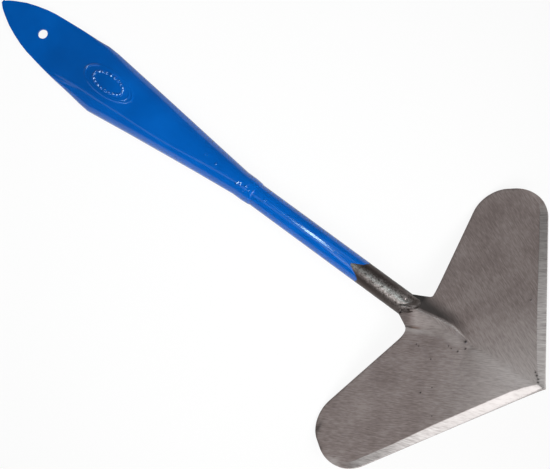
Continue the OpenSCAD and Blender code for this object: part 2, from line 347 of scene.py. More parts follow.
# spacing of the blade's points: rows have a start, a stop and a step, grids have two of these and a clearance
bladeMesh = {
    "rim": 1.5, "rear": 2.0, "neck": 1.0, "pointSteps": 28, "heelSteps": 18, "filletSteps": 8, "noseSteps": 5,
    "border": (0.5, 1.2), "borderRow": 0.35, "borderClear": 0.15, "rimRow": 0.4, "rimClear": 0.5,
    "crest": (2, 45.1, 0.5), "crestRows": (-0.9, -0.5, -0.22, 0.22, 0.5, 0.9),
    "crease": (0.6, 16, 0.35), "creaseRows": (-0.6, -0.25, 0, 0.25, 0.6),
    "pitRings": (0.0, 0.6, 1.2, 2.0), "pitSides": 8, "room": 0.12,
    "grids": (((-3.6, 50, 0.65), (-13, 13.1, 0.65), 0.25), ((80, 97, 0.8), (-16, 16.1, 0.8), 0.35),
              ((-22, 97, 1.8), (-86, 86.1, 1.8), 0.8)),
    "offEdge": 99.0, "otherWing": -10, "merge": 1e-5, "tiny": 1e-30, "grainShift": (300, 70),
}


def onFold(along, across, over):  # from the blade's own frame to the line of the shank
    x = blade["foot"] + along * riseCos - over * riseSin
    return np.column_stack([x, across, along * riseSin + over * riseCos])


def crestLine(v):  # where the rib's crest runs
    return np.interp(v, blade["crestAlong"], blade["crestAcross"])


def creaseLine(v):  # where the rib's low flank meets the wing
    return np.interp(v, *zip(*blade["creasePath"]))


def faceHeight(along, across):
    v, w = np.asarray(along, float), np.asarray(across, float)
    at = lambda key: np.interp(v, blade["crestAlong"], blade[key])
    aside = w - crestLine(v)
    low, high = at("crestOver") + at("lowSlope") * aside, at("crestOver") - at("highSlope") * aside
    rib = softMin(low, high, at("crestRound"))
    wings = softMin(w * wingTan, -w * wingTan, blade["foldRound"])
    side = smoothStep(aside, -blade["crestBlend"], blade["crestBlend"])
    lowRound = blade["lowCrease"] + blade["lowCreaseGain"] * smoothStep(v, *blade["lowCreaseFrom"])
    highRound = blade["highCrease"] + blade["highHollow"] * fade(v, *blade["highHollowTo"])
    return softMax(rib, wings, lowRound + (highRound - lowRound) * side)


def crossing(p, d, q, e):  # where the lines from p along d and from q along e meet
    cross = lambda a, b: a[0] * b[1] - a[1] * b[0]
    return p + d * cross(q - p, e) / cross(d, e)


def cornerArc(corner, a, b, r, steps):  # a and b lead out of the corner
    half = math.acos(np.clip(np.dot(a, b), -1, 1)) / 2
    centre = corner + (a + b) / np.linalg.norm(a + b) * r / math.sin(half)
    start, end = corner + a * r / math.tan(half) - centre, corner + b * r / math.tan(half) - centre
    first = math.atan2(start[1], start[0])
    turn = (math.atan2(end[1], end[0]) - first + math.pi) % (2 * math.pi) - math.pi
    angles = [first + turn * k / steps for k in range(steps + 1)]
    return centre, first, turn, [centre + r * np.array([math.cos(t), math.sin(t)]) for t in angles]


def softCorner(a, corner, b, steps):  # curve from a to b that only leans into the corner
    return [a * (1 - t) ** 2 + corner * 2 * t * (1 - t) + b * t * t for t in np.linspace(0, 1, steps + 1)]


def spaced(a, b, step):  # points from a up to, but not with, b
    count = max(1, round(np.linalg.norm(b - a) / step))
    return [a + (b - a) * k / count for k in range(count)]


def inPlan(edge, p):  # from a wing's own plane to the plan, along and across the fold
    return (p[0], p[1] * edge["side"] * wingCos)


def drawEdge(edge):  # lines and arcs of one wing, along and outwards in its plane
    half, sweep, lean = (math.radians(a) for a in (edge["half"], blade["rearSweep"], blade["endLean"]))
    edge["dir"] = np.array([-math.cos(half), math.sin(half)])
    edge["out"] = np.array([math.sin(half), math.cos(half)])
    edge["tip"] = np.array([edge["meets"], 0.0])
    rear, end = np.array([-math.sin(sweep), math.cos(sweep)]), np.array([math.cos(lean), math.sin(lean)])
    endPlace, rearPlace = np.array([blade["rearStart"], blade["reach"]]), np.array([blade["rearStart"], 0.0])
    corner = crossing(edge["tip"], edge["dir"], endPlace, end)
    arc = cornerArc(corner, -edge["dir"], -end, blade["pointRound"], bladeMesh["pointSteps"])
    edge["centre"], edge["first"], edge["turn"], edge["arc"] = arc
    edge["straight"] = np.dot(edge["arc"][0] - edge["tip"], edge["dir"])
    corner = crossing(rearPlace, rear, endPlace, end)
    heel = cornerArc(corner, end, -rear, blade["heelRound"], bladeMesh["heelSteps"])[3]
    notch = crossing(rearPlace, rear, np.array([0, blade["neckHalf"]]), np.array([1.0, 0]))
    neck = np.array(blade["neckEnd"])
    rearStop = notch + rear * edge["fillet"][0]
    neckStop = notch + (neck - notch) / np.linalg.norm(neck - notch) * edge["fillet"][1]
    path = edge["arc"][:-1] + spaced(edge["arc"][-1], heel[0], bladeMesh["rear"]) + heel[:-1]
    path += spaced(heel[-1], rearStop, bladeMesh["rear"])
    path += softCorner(rearStop, notch, neckStop, bladeMesh["filletSteps"])[:-1]
    edge["path"] = path + spaced(neckStop, neck, bladeMesh["neck"]) + [neck]


def edgePlace(edge, v, w):  # distance in from the edge, ground width there, share of the corner passed
    y = w * edge["side"] / wingCos
    ahead = v - edge["tip"][0]
    along = ahead * edge["dir"][0] + y * edge["dir"][1]
    inside = -(ahead * edge["out"][0] + y * edge["out"][1])
    past = along > edge["straight"]
    swing = np.arctan2(y - edge["centre"][1], v - edge["centre"][0]) - edge["first"]
    share = ((swing + math.pi) % (2 * math.pi) - math.pi) / edge["turn"]
    radial = blade["pointRound"] - np.hypot(v - edge["centre"][0], y - edge["centre"][1])
    radial = np.where(share < 1, radial, bladeMesh["offEdge"])
    inside = np.where(past, radial, np.where(y < bladeMesh["otherWing"], bladeMesh["offEdge"], inside))
    corner = np.where(past, np.clip(share, 0, 1), 0.0)
    return inside, np.interp(along, edge["at"], edge["wide"]) * (1 - blade["cornerTaper"] * corner), corner


def bevelDepth(v, w):  # how far the ground edges lie under the plate's face
    depth = np.zeros_like(v)
    for edge in bothEdges:
        inside, wide, corner = edgePlace(edge, v, w)
        ground = blade["grindSlope"] * np.maximum(0, wide - inside) * fade(corner, *blade["cornerEnd"])
        depth = np.maximum(depth, ground)
    return np.minimum(depth, blade["thick"] - blade["edgeThick"])


def bladeLoop():  # the outline in plan, from the point round by the +Y wing, and the sharp point itself
    for edge in bothEdges:
        drawEdge(edge)
    flip = np.array([1, -1])
    point = crossing(highEdge["tip"], highEdge["dir"], lowEdge["tip"], lowEdge["dir"] * flip)
    highStart = point + highEdge["dir"] * blade["tipRound"]
    lowStart = point + lowEdge["dir"] * flip * blade["tipRound"]
    loop = [(p[0], p[1] * wingCos) for p in softCorner(lowStart, point, highStart, bladeMesh["noseSteps"])]
    high = spaced(highStart, highEdge["arc"][0], bladeMesh["rim"])[1:] + highEdge["path"]
    low = spaced(lowStart * flip, lowEdge["arc"][0], bladeMesh["rim"])[1:] + lowEdge["path"]
    loop += [inPlan(highEdge, p) for p in high] + [(blade["neckEnd"][0], 0.0)]
    return loop + [inPlan(lowEdge, p) for p in low][::-1], point


def borderRow(edge, other, offset):  # points along a ground edge's inner border, or for None along its rim
    m, onRim = bladeMesh, offset is None
    row = []
    for d in np.arange(m["border"][0], edge["straight"], m["border"][1]):
        depth = m["rimRow"] if onRim else np.interp(d, edge["at"], edge["wide"]) + offset
        row.append(inPlan(edge, edge["tip"] + edge["dir"] * d - edge["out"] * depth))
    for k, p in enumerate(edge["arc"][:-2]):
        taper = 1 - blade["cornerTaper"] * k / m["pointSteps"]
        depth = m["rimRow"] if onRim else edge["wide"][-1] * taper + offset
        row.append(inPlan(edge, edge["centre"] + (p - edge["centre"]) * (1 - depth / blade["pointRound"])))
    inside, wide, _ = edgePlace(other, *np.array(row).T)
    clear = inside > (m["rimClear"] if onRim else wide + m["borderClear"] + offset)
    return [q for q, keep in zip(row, clear) if keep]


def thinned(group, taken, room):  # drops points that crowd the ones already there
    return [q for q in group if np.min((taken[:, 0] - q[0]) ** 2 + (taken[:, 1] - q[1]) ** 2) > room * room]


def bladePlan(loop):  # points and triangles in plan, finest along the rib, the pits and the ground edges
    m = bladeMesh
    plan, edges, beside = list(loop), [(k, (k + 1) % len(loop)) for k in range(len(loop))], []

    def addChain(chain):
        first = len(plan)
        plan.extend(chain)
        edges.extend((first + k, first + k + 1) for k in range(len(chain) - 1))

    for edge, other in (bothEdges, bothEdges[::-1]):
        addChain(borderRow(edge, other, 0.0))
        for offset in (-m["borderRow"], m["borderRow"], None):
            beside += borderRow(edge, other, offset)
    crest, crease = np.arange(*m["crest"]), np.arange(*m["crease"])
    addChain(list(zip(crest, crestLine(crest))))
    beside += [(a, b + d) for d in m["crestRows"] for a, b in zip(crest, crestLine(crest))]
    beside += [(a, b + d) for d in m["creaseRows"] for a, b in zip(crease, creaseLine(crease))]
    circle = evenly(0, 2 * math.pi, m["pitSides"])
    rings = [(a + r * s * math.cos(t), b + r * s * math.sin(t)) for a, b, r in blade["pits"]
             for s in m["pitRings"] for t in ((0,) if s == 0 else circle + s)]
    groups = [(beside, m["room"]), (rings, m["room"])]
    for along, across, room in m["grids"]:
        groups.append(([(a, b) for a in np.arange(*along) for b in np.arange(*across)], room))
    for group, room in groups:
        plan.extend(thinned(group, np.array(plan), room))
    out = delaunay_2d_cdt([Vector(q) for q in plan], edges, [], 0, m["merge"])
    flat, faces = np.array([tuple(q) for q in out[0]]), np.array([tuple(f) for f in out[2]])
    x, y = flat[faces].mean(1).T
    inside = np.zeros(len(faces), bool)
    for a, b in zip(loop, loop[1:] + loop[:1]):  # a ray test keeps the triangles within the outline
        crossed = (a[1] > y) != (b[1] > y)
        inside ^= crossed & (x < a[0] + (y - a[1]) / (b[1] - a[1] + m["tiny"]) * (b[0] - a[0]))
    used = np.unique(faces[inside])
    renumber = np.zeros(len(flat), int)
    renumber[used] = np.arange(len(used))
    return flat[used], [tuple(int(i) for i in renumber[f]) for f in faces[inside]]


# wear, soot, painted shade and painted highlights on the blade: how strong each is,
# and between which distances in mm it comes or goes
bladeWear = {
    # painted shade, with some weld soot, on the rib's far flank; weld soot at the neck
    "flankSoot": 0.92, "flankTop": (0.1, 1.4), "flankFoot": (6, 14), "flankTaper": 0.22, "flankTo": (18, 44),
    "neckSoot": 0.5, "neckTo": (-3, 5), "neckAcross": (7, 12),
    # painted shade in the crease by the neck; real rust along the crease
    "creaseWide": 0.35, "creaseSpan": (-0.2, 16.2), "creaseSoot": 0.75, "creaseSootTo": (3.5, 6.5),
    "creaseRust": 0.7, "creaseRustFrom": (3, 5), "creaseRustTo": (7, 12),
    # painted shade along the heel's edge, the rim by the point, the other uncut rims and over the far wing
    "heelSoot": 0.8, "heelAt": (-13.2, -74.5), "heelWide": (1.6, 4.5),
    "tipSoot": 0.35, "tipSootTo": (25, 60), "tipRim": 0.1, "rimSoot": 0.45,
    "wingFilm": 0.12, "filmAcross": (4, 24), "filmFrom": (25, 65),
    # soil polish and a painted highlight at the point, a painted highlight on the low wing; soil polish on
    # rib and fold
    "tipPolish": 0.6, "tipPolishTo": (4, 70), "lowWingPolish": 0.15, "lowWingReach": 12,
    "ribPolish": 0.45, "ribFrom": (18, 30), "ribTo": (36, 46), "ribWide": 3, "foldAcross": -2,
    "foldPolish": 0.22, "foldWide": 5, "foldFrom": (38, 56),
    # painted highlights on the rib's low flank, the low bevel, the foot of the crease and the bevel's corner
    "flankPolish": 0.3, "lowFrom": (2, 8), "lowTo": (24, 36), "lowTop": (0.2, 1.0), "lowFoot": (5, 8),
    "bevelPolish": 0.75, "bevelTo": (20, 95),
    "footPolish": 0.7, "footAlong": (0, 8, 16, 24, 32), "footAcross": (-10.6, -8.2, -5.6, -4.2, -3.2),
    "footWide": 1.3, "footTo": (5, 36),
    "cornerPolish": 0.5, "cornerAt": 0.6, "cornerWide": 0.14, "cornerDeep": 2.6,
    # painted highlight along the rib's crest
    "crestHoned": 0.95, "crestWide": 0.4, "crestFrom": (4, 9), "crestTo": (32, 41),
    "honedDeep": 0.15, "honedTo": (0.0, 0.4), "uncut": 0.02,
}


def bladeMarks(v, w, cut, point, onRim):  # masks from 0 to 1 that the steel's look reads
    m = bladeWear
    aside, low, uncut = w - crestLine(v), w < 0, cut < m["uncut"]
    fromTip = np.hypot(v - point[0], w - point[1])
    rim = edgePlace(lowEdge, v, w)[0]
    corner = np.max([edgePlace(edge, v, w)[2] for edge in bothEdges], 0)
    crease = bell(w - creaseLine(v), m["creaseWide"]) * (v > m["creaseSpan"][0]) * (v < m["creaseSpan"][1])
    rust = m["creaseRust"] * crease * between(v, m["creaseRustFrom"], m["creaseRustTo"])

    # weld soot at the neck, and painted shade with some soot on the far flank; painted shade in the crease
    # by the neck, along the plate's rims and over the far wing
    flank = smoothStep(aside, *m["flankTop"]) * fade(aside + m["flankTaper"] * v, *m["flankFoot"])
    smoke = m["flankSoot"] * flank * fade(v, *m["flankTo"])
    smoke += m["neckSoot"] * fade(v, *m["neckTo"]) * fade(np.abs(w), *m["neckAcross"])
    heel = bell(v - m["heelAt"][0], m["heelWide"][0]) * bell(w - m["heelAt"][1], m["heelWide"][1])
    wingShade = smoothStep(w, *m["filmAcross"]) * smoothStep(fromTip, *m["filmFrom"])
    smoke = np.max([
        smoke, m["creaseSoot"] * crease * fade(v, *m["creaseSootTo"]), m["heelSoot"] * heel,
        m["tipSoot"] * (rim < m["tipRim"]) * fade(fromTip, *m["tipSootTo"]) * (w < point[1]),
        m["rimSoot"] * onRim * uncut, m["wingFilm"] * wingShade * uncut], 0)

    # soil polishes the point, the fold and the rib; painted highlights brighten the point, the low wing more
    # than the far one, the rib's low flank, the low bevel, the crease's foot and the bevel's corner
    start, end = m["tipPolishTo"]
    polished = fade(fromTip, start, end + m["lowWingReach"] * low) * uncut
    polished = polished * (m["tipPolish"] + m["lowWingPolish"] * low)
    rib = between(v, m["ribFrom"], m["ribTo"]) * bell(w - m["foldAcross"], m["ribWide"])
    fold = bell(w - m["foldAcross"], m["foldWide"]) * smoothStep(v, *m["foldFrom"])
    flank = between(v, m["lowFrom"], m["lowTo"]) * between(-aside, m["lowTop"], m["lowFoot"])
    polished = np.maximum(polished, m["ribPolish"] * rib) + m["foldPolish"] * fold * uncut
    polished = np.maximum(polished, m["flankPolish"] * flank)
    bevel = m["bevelPolish"] * fade(fromTip, *m["bevelTo"]) * (w < point[1])
    foot = bell(w - np.interp(v, m["footAlong"], m["footAcross"]), m["footWide"]) * fade(v, *m["footTo"])
    patch = bell(corner - m["cornerAt"], m["cornerWide"]) * low * (rim < m["cornerDeep"])
    polished = np.max([
        np.where(uncut, polished, bevel), m["footPolish"] * foot, m["cornerPolish"] * patch], 0)

    # bright ground steel on the bevels, and a painted highlight along the rib's crest
    crest = bell(aside, m["crestWide"]) * between(v, m["crestFrom"], m["crestTo"])
    ground = np.clip(cut / m["honedDeep"], 0, 1) * fade(corner, *m["honedTo"])
    honed = np.maximum(ground, m["crestHoned"] * crest)
    return {"smoke": smoke, "rust": rust, "polished": polished, "honed": honed}


def brushBlade(mesh, plan, honed):  # U runs along the grinding lines, V across them, both in mm
    uv = mesh.uv_layers.new(name="grain")
    for poly in mesh.polygons:
        ids = list(poly.vertices)
        edge = lowEdge if plan[ids, 1].mean() < 0 else highEdge
        turn = math.radians(edge["honedGrain"] if honed[ids].mean() > 0.5 else edge["grain"])
        c, s = math.cos(turn), math.sin(turn)
        shiftU, shiftV = (edge["side"] * shift for shift in bladeMesh["grainShift"])
        for corner, (x, y) in zip(poly.loop_indices, plan[ids]):
            uv.data[corner].uv = (x * c + y * s + shiftU, y * c - x * s + shiftV)


def makeBlade():
    loop, point = bladeLoop()
    flat, faces = bladePlan(loop)
    v, w = flat.T
    n = len(v)
    halfEdges = {(f[k], f[(k + 1) % 3]) for f in faces for k in range(3)}
    walls = [(b, a, a + n, b + n) for a, b in halfEdges if (b, a) not in halfEdges]
    onRim = np.zeros(n)
    onRim[[i for wall in walls for i in wall[:2]]] = 1
    face, cut = faceHeight(v, w), bevelDepth(v, w)
    pit, dent = np.zeros(n), np.zeros(n)
    for a, b, r in blade["pits"]:
        away = np.hypot(v - a, w - b) / r
        pit = np.maximum(pit, np.exp(-away ** 2 * blade["pitDark"]))
        dent += blade["pitDeep"] * np.exp(-away ** 2)
    top = onFold(v, w, face - cut - dent * (cut < blade["pitClear"]))
    lean = w / np.hypot(w, blade["foldBlend"]) * math.sin(math.radians(blade["fall"])) * blade["thick"]
    under = onFold(v, w - lean, face - blade["thick"] * wingCos)
    marks = topOnly({"pit": pit, **bladeMarks(v, w, cut, point, onRim)})
    skin = faces + [tuple(i + n for i in f[::-1]) for f in faces] + walls
    points = np.vstack([top, under])
    piece = makePiece("blade", points, skin, bladeSteel, blade["sharp"], marks)
    brushBlade(piece.data, np.vstack([flat, flat]), marks["honed"])


makeBlade()

# grip: sheet rolled to a tapered tube, pressed flat and trimmed to a leaf at the butt; mm from the leaf's tip
grip = {
    "buttX": -264, "flat": 30, "belly": 82, "mouth": 160, "sheet": 0.6, "bellyHalf": 7.5, "sleeveHalf": 6.65,
    "highAt": (0, 2.5, 5.5, 11, 16.5, 22, 27, 33, 38, 44, 49, 55, 61, 68, 97, 118, 139, 160, 170),
    "highY": (3.4, 5.4, 7.1, 9.8, 11.6, 13.0, 13.9, 14.45, 14.8, 15.2, 15.5, 15.9, 16.6, 16.3,
              13.3, 11.1, 8.85, 6.65, 6.65),
    "lowAt": (0, 2.5, 5.5, 11, 16.5, 22, 27, 33, 38, 44, 49, 55, 61, 67, 73, 97, 118, 139, 160, 170),
    "lowY": (2.2, -0.1, -2.0, -5.1, -7.4, -9.3, -10.6, -11.65, -12.5, -13.4, -14.0, -14.6, -15.3, -16.1,
             -16.6, -13.6, -11.2, -8.8, -6.65, -6.65),
    "creaseAt": (0, 40, 52, 64, 76, 88, 100, 112, 124, 136, 150, 170),
    "creaseY": (-11.6, -11.4, -10.6, -9.7, -9.4, -8.6, -8.0, -7.2, -6.4, -5.7, -4.0, -2.0),
    "creaseTurn": 22, "creaseRound": 0.9, "creaseLeast": 0.05, "creaseFrom": (38, 54),
    "creaseClear": (0.8, 0.65), "shoulderClear": 0.1,
    "tubeFrom": (42, 66), "sleeveFrom": (110, 158), "crown": 0.38, "crownFrom": 2.0,
    "leafPower": 0.25, "groove": 0.2, "grooveWide": 0.15, "shoulder": (0.4, 0.7, -0.1), "under": (0.4, 0.65),
    "flankPull": (0.4, 0.15), "flankRise": 0.55, "seam": 0.35, "seamFrom": (48, 60), "seamGap": (0.45, 0.3),
    "lipHalf": 6.12, "lipFrom": (165, 170), "lipEnd": (169.2, 170), "lipShare": (0.6, 0.4),
    "holeAt": 28.5, "holeAcross": 1.63, "holeRound": 2.5, "holeSides": 48, "drill": 3.0, "sharp": 40,
    "ovalAt": (75.0, 0.4), "ovalSize": (15.0, 6.6), "ovalHigh": 0.34, "ovalBand": (0.3, 1.25),
    "rims": ((1.0, 1.0, 0.5), (0.6, 0.88, 0.4)),  # share, place and width of each
    "rimUneven": (0.7, 0.6, 6.0, 1.7), "wornTurn": 2.8, "wornWide": (0.8, 0.95), "wornFlat": (0.45, 0.8),
    "pips": 22, "pipRing": 0.62, "pipLong": 1.2, "pipEdge": (0.62, 0.9), "pipHigh": 0.26,
    "pipLean": (0.03, 0.06), "pipTurns": 3.1, "pipSeed": 0.4, "pipApart": 5, "dripEdge": (0.9, 1.5),
    "drips": ((146.0, -0.4, 0.6, 0.22), (138.5, 0.75, 0.5, 0.18), (141.7, 4.2, 0.5, 0.2),
              (116.5, -0.75, 0.4, 0.12)),
    "glint": (0.181, -0.00085, -0.051),  # slopes of flat tops: along at the butt, its change per mm, across
}
# the grip's rings of points: how many lie on each part of a ring, and the spans along the grip
gripMesh = {
    "shoulder": 14, "top": 80, "crease": 8, "flank": 20, "under": 12, "strip": 4, "tip": (0.0, 0.4, 1.0),
    "spans": ((2, 57, 1.0), (57, 93, 0.3), (93, 130, 1.5), (130, 153, 0.3), (153, 169, 0.6),
              (169, 170.01, 0.2)),
}


def gripHalf(u):  # half of the grip's height
    g = grip
    taper = np.clip((g["mouth"] - u) / (g["mouth"] - g["belly"]), 0, 1)
    tube = g["sleeveHalf"] + (g["bellyHalf"] - g["sleeveHalf"]) * taper
    return g["sheet"] + (tube - g["sheet"]) * smoothStep(u, g["flat"], g["belly"])


def crownShare(u, y):  # the tube's upper side falls a little towards +Y
    g = grip
    high = np.interp(u, g["highAt"], g["highY"])
    start = np.interp(u, g["creaseAt"], g["creaseY"]) + g["crownFrom"]
    crown = g["crown"] * smoothStep(u, *g["tubeFrom"]) * fade(u, *g["sleeveFrom"])
    return 1 - crown * min(max((y - start) / (high - start), 0), 1) ** 2


def gripSection(u):  # closed outline, from the +Y side over the top and back underneath
    g, m = grip, gripMesh
    tube, sleeve = smoothStep(u, *g["tubeFrom"]), smoothStep(u, *g["sleeveFrom"])
    lip = g["lipShare"][0] * smoothStep(u, *g["lipFrom"]) + g["lipShare"][1] * smoothStep(u, *g["lipEnd"])
    lip = lip * (g["sleeveHalf"] - g["lipHalf"])
    high, low = np.interp(u, g["highAt"], g["highY"]) - lip, np.interp(u, g["lowAt"], g["lowY"]) + lip
    half = gripHalf(u) - lip
    widest = (high - low) / 2
    power = g["leafPower"] + (1 - g["leafPower"]) * tube  # trimmed square on the leaf, round on the tube
    groove = g["groove"] * (1 - tube)
    leaf, onTube, onSleeve = g["shoulder"]
    shoulder = min(half * (leaf + onTube * tube + onSleeve * sleeve), widest)
    under = min(half * (g["under"][0] + g["under"][1] * tube), widest)
    crease = np.interp(u, g["creaseAt"], g["creaseY"])
    crease = max(crease, low + g["creaseClear"][1] * (1 - tube) + g["creaseClear"][0])
    crease = min(crease * (1 - sleeve) + (low + shoulder) * sleeve, high - shoulder - g["shoulderClear"])
    turn = math.radians(g["creaseTurn"]) * (1 - sleeve) * smoothStep(u, *g["creaseFrom"])
    bend = g["creaseLeast"] + g["creaseRound"] * (1 - sleeve)  # half of the bend's own width
    step = bend * math.tan(turn)

    def rolled(degrees):  # how far in and how high an edge has turned, and the groove between its two layers
        a = math.radians(degrees)
        rise = math.sin(a) ** power
        return 1 - math.cos(a) ** power, rise, groove * bell(half * rise, g["grooveWide"])

    points = []
    for t in evenly(0, 90, m["shoulder"]):
        back, rise, dip = rolled(t)
        y = high - shoulder * back - dip
        points.append((y, crownShare(u, y) * half * rise))
    for t in evenly(0, 1, m["top"]):
        y = (high - shoulder) + (crease + bend - high + shoulder) * t
        points.append((y, crownShare(u, y) * half))
    for t in evenly(0, 1, m["crease"]):
        points.append((crease + bend * (1 - 2 * t), half - step * t * t))
    foot = np.array([crease - bend, half - step])
    pull = (crease - low) * (g["flankPull"][0] + g["flankPull"][1] * sleeve)
    p1 = foot - np.array([math.cos(turn), math.sin(turn)]) * pull
    p2, p3 = np.array([low, half * g["flankRise"]]), np.array([low, 0.0])
    for t in evenly(0, 1, m["flank"]):  # a smooth curve on the tube, a trimmed edge on the leaf
        smooth = foot * (1 - t) ** 3 + p1 * 3 * t * (1 - t) ** 2 + p2 * 3 * t * t * (1 - t) + p3 * t ** 3
        back, rise, dip = rolled(90 * (1 - t))
        cut = np.array([low + (foot[0] - low) * back + dip, foot[1] * rise])
        points.append(tuple(smooth * tube + cut * (1 - tube)))
    for t in evenly(0, 90, m["under"]):
        back, rise, dip = rolled(t)
        points.append((low + under * back + dip, -half * rise))
    seam = g["seam"] * smoothStep(u, *g["seamFrom"])  # butted edges of the rolled sheet
    start, end = low + under, high - under
    centre, gap = (start + end) / 2, min(g["seamGap"][0], (end - start) * g["seamGap"][1])
    points += [(y, -half) for y in evenly(start, centre - gap, m["strip"])]
    points += [(y, -half + (seam if k == m["strip"] // 2 else 0))
               for k, y in enumerate(np.linspace(centre - gap, centre + gap, m["strip"] + 1))]
    points += [(y, -half) for y in evenly(centre + gap, end, m["strip"])[1:]]
    for t in evenly(90, 0, m["under"]):
        back, rise, dip = rolled(t)
        points.append((high - under * back - dip, -half * rise))
    return points


def embossed(u, y):  # plain raised oval with a ring of pips inside it, and drips of paint; height in mm
    g = grip
    slope = g["glint"][0] + g["glint"][1] * u
    here = gripHalf(u) * crownShare(u, y)

    def level(du, dy):  # turns the sheet's own slope into that of a flat top that mirrors the lamp
        return gripHalf(u - du) * crownShare(u - du, y - dy) - here - slope * du - g["glint"][2] * dy

    up = 0.0
    for at, aside, r, tall in g["drips"]:
        share = fade(math.hypot(u - at, y - aside), r * g["dripEdge"][0], r * g["dripEdge"][1])
        if share > 0:
            up += share * (tall + level(u - at, y - aside))
    long, wide = g["ovalSize"]
    a, b = (u - g["ovalAt"][0]) / long, (y - g["ovalAt"][1]) / wide
    r = math.hypot(a, b)
    if r < g["ovalBand"][0] or r > g["ovalBand"][1]:
        return up
    turn = math.atan2(b, a)
    stretch = r / math.hypot(a / long, b / wide)
    least, gain, size, seed = g["rimUneven"]
    rims = sum(share * bell((r - place) * stretch, thick) for share, place, thick in g["rims"])
    oval = g["ovalHigh"] * rims * (least + gain * noise.noise(Vector((u / size, y / size, seed))))
    du, dy = (a - math.cos(turn)) * long, (b - math.sin(turn)) * wide
    worn = smoothStep(math.cos(turn - g["wornTurn"]), *g["wornWide"])  # one end of the rim is rubbed flat
    flat = fade(math.hypot(du, dy), *g["wornFlat"]) * (g["ovalHigh"] + level(du, dy))
    k = round(turn / (2 * math.pi) * g["pips"]) * 2 * math.pi / g["pips"]
    du, dy = (a - g["pipRing"] * math.cos(k)) * long, (b - g["pipRing"] * math.sin(k)) * wide
    spot = Vector((math.cos(k) * g["pipTurns"], math.sin(k) * g["pipTurns"], g["pipSeed"]))
    other = spot + Vector((g["pipApart"], 0, 0))
    leanLong, leanWide = g["pipLean"]  # every pip leans a little its own way
    lean = leanLong * noise.noise(spot) * du + leanWide * noise.noise(other) * dy
    pip = fade(math.hypot(du / g["pipLong"], dy), *g["pipEdge"]) * (g["pipHigh"] + level(du, dy) - lean)
    return up + oval * (1 - worn) + flat * worn + pip


def makeGrip():
    g, m = grip, gripMesh
    stations = [*m["tip"], *stationsIn(m["spans"])]
    rings = [gripSection(u) for u in stations]
    onTop = range(m["shoulder"], m["shoulder"] + m["top"])
    points = [(g["buttX"] + u, y, z + (embossed(u, y) if k in onTop else 0.0))
              for u, ring in zip(stations, rings) for k, (y, z) in enumerate(ring)]
    skin = tubeFaces(len(rings), len(rings[0]))
    piece = makePiece("grip", points, skin, blueEnamel, g["sharp"])
    x, y, r = g["buttX"] + g["holeAt"], g["holeAcross"], g["holeRound"]
    circle = evenly(0, 2 * math.pi, g["holeSides"])
    drill = [(x + r * math.cos(t), y + r * math.sin(t), z) for z in (-g["drill"], g["drill"]) for t in circle]
    cutter = bpy.data.meshes.new("drill")  # the hanging hole is punched through both layers
    cutter.from_pydata([tuple(p) for p in layDown(drill)], [], tubeFaces(2, g["holeSides"]))
    punch = bpy.data.objects.new("drill", cutter)
    scene.collection.objects.link(punch)
    cut = piece.modifiers.new("hole", "BOOLEAN")
    cut.object, cut.operation, cut.solver = punch, "DIFFERENCE", "EXACT"
    bpy.context.view_layer.update()
    done = bpy.data.meshes.new_from_object(piece.evaluated_get(bpy.context.evaluated_depsgraph_get()))
    piece.modifiers.clear()
    piece.data = done
    done.set_sharp_from_angle(angle=math.radians(g["sharp"]))
    bpy.data.objects.remove(punch)


makeGrip()

# shank: round bar, painted up to a ragged line, bare and heat-scaled towards the blade; mm and degrees
shank = {
    "round": 6.0, "sides": 120, "sharp": 50, "paintThick": 0.09, "paintEnd": -26.6, "paintSoft": 0.3,
    "tongue": 6.4, "tongueWide": 26, "tongueAt": -6,
    "ragged": 0.8, "raggedTurns": (2.2, 6), "raggedSeed": 5.0, "raggedLong": 0.5, "fineShare": 0.6,
    # shade: painted shade on the bar's +Y side, coming in from 45 to 75 degrees round
    "pitted": 0.05, "pitLong": (1.6, 0.8), "pitTurns": (3.8, 7.5), "shade": 0.85, "shadeTurn": (45, 75),
    # painted highlight along the bare bar's top, over some rubbed wear: where it turns, how wide, how strong
    "streakX": (-33, -30, -9, 0), "streakTurn": (0, 0, -3, 4),
    "streakWide": (18, 19, 25, 36), "streakShare": (0.52, 0.55, 1.45, 1.15),
    "drip": (-87.5, -6, 0.45, 0.3),  # along, turn, size and height
    "spans": ((-124, -92, 2.0), (-92, -84, 0.25), (-84, -38, 2.0), (-38, -22, 0.35), (-22, 0, 0.45)),
}


def sheenAlongTop(x, turn):  # painted highlight along the bare bar's top, over some rubbed wear
    at = lambda key: np.interp(x, shank["streakX"], shank[key])
    return at("streakShare") * bell(turn - at("streakTurn"), at("streakWide"))


